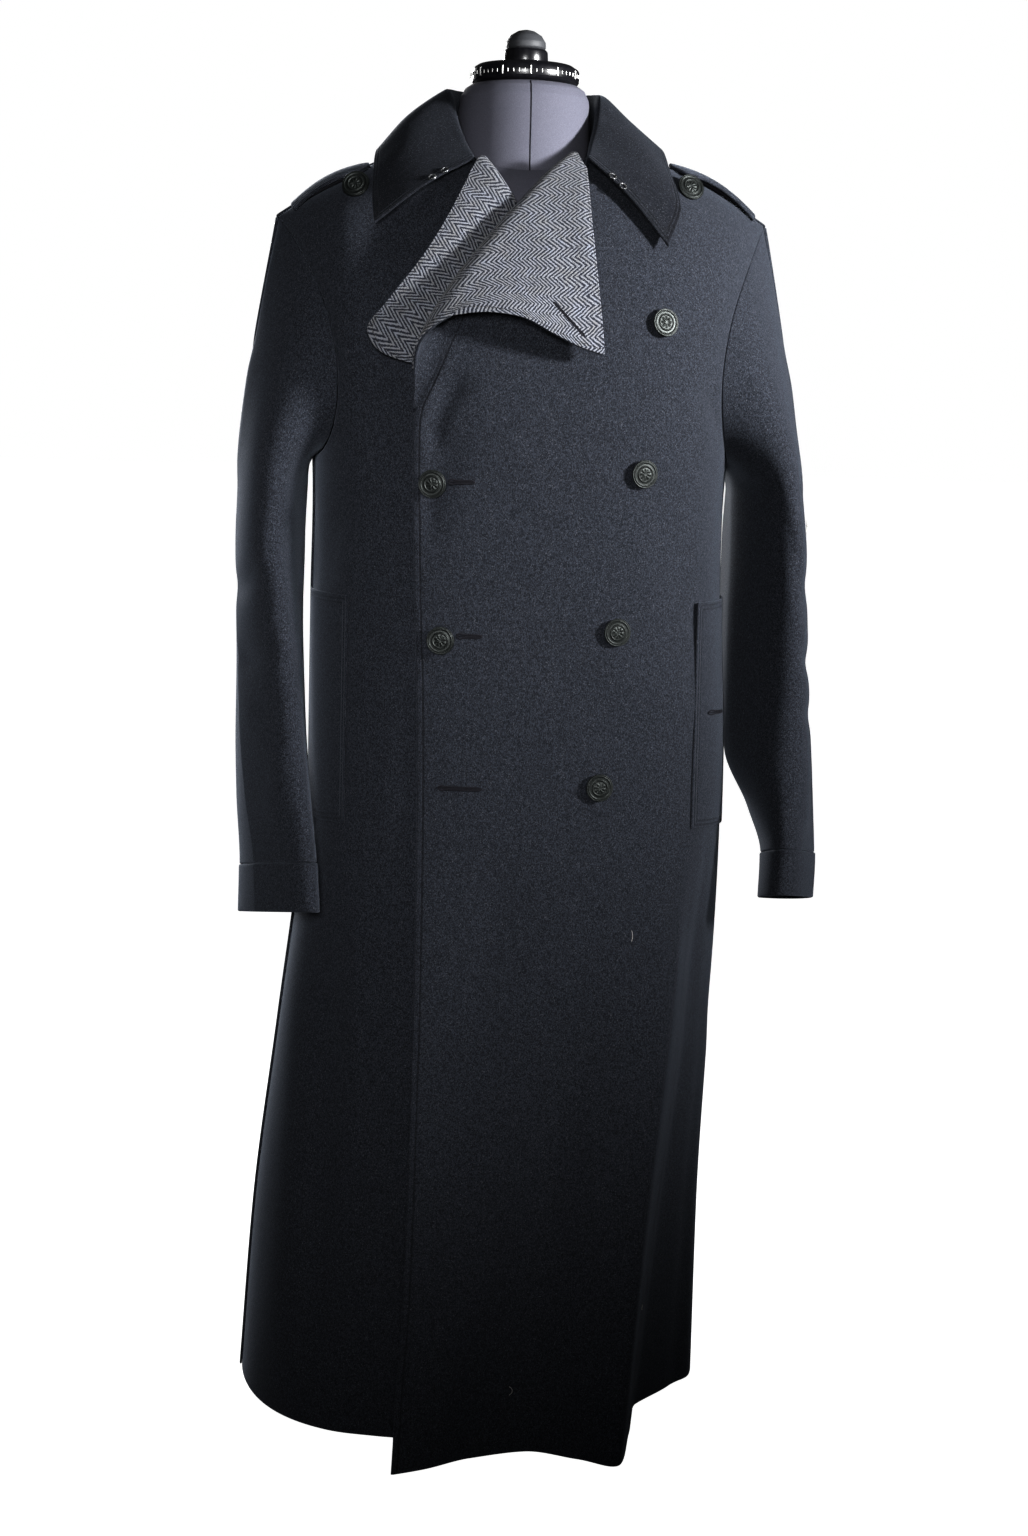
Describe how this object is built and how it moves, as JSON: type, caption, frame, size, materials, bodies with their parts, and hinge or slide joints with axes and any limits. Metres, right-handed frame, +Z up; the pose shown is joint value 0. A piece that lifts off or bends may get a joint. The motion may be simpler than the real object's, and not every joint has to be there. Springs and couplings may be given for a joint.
{
  "type": "police overcoat on a dress form",
  "caption": "Dark double-breasted wool overcoat with turned-back tweed lapels, wide collar, shoulder straps and metal buttons, worn on a limbless dress form with a neck dial.",
  "frame": {"origin": "centre of the floor face of the round base", "axes": "+Z up, -Y the coat's front, +X the wearer's left (the viewer's right from the front)"},
  "size_m": [0.5665, 0.451, 1.3274],
  "materials": {
    "coat_wool": "dense milled wool, matt with a short nap",
    "herringbone_tweed": "light and dark herringbone weave",
    "pewter": "dull grey-green metal with raised rings",
    "black_wire": "black enamelled wire, worn bright in places",
    "form_cloth": "grey jersey cover",
    "black_plastic": "satin black",
    "grey_plastic": "matt grey",
    "stand_steel": "plain dark enamel"
  },
  "bodies": {
    "root": {"front_left": "coat_wool", "front_right": "coat_wool", "back_left": "coat_wool", "back_right": "coat_wool", "sleeve_left_top": "coat_wool", "sleeve_left_under": "coat_wool", "sleeve_right_top": "coat_wool", "sleeve_right_under": "coat_wool", "cuff_left": "coat_wool", "cuff_right": "coat_wool", "collar": "coat_wool", "shoulder_strap_left": "coat_wool", "shoulder_strap_right": "coat_wool", "pocket_flap_left": "coat_wool", "pocket_flap_right": "coat_wool", "lapel_facing_left": "herringbone_tweed", "lapel_facing_right": "herringbone_tweed", "button_right_1": "pewter", "button_right_2": "pewter", "button_right_3": "pewter", "button_right_4": "pewter", "button_left_1": "pewter", "button_left_2": "pewter", "strap_button_left": "pewter", "strap_button_right": "pewter", "collar_eye_upper": "black_wire", "collar_eye_lower": "black_wire", "collar_hook_upper": "black_wire", "collar_hook_lower": "black_wire", "form_torso": "form_cloth", "form_dial": "black_plastic", "form_knob_base": "black_plastic", "form_knob": "grey_plastic", "stand_pole": "stand_steel", "stand_base": "stand_steel"}
  },
  "joints": []
}
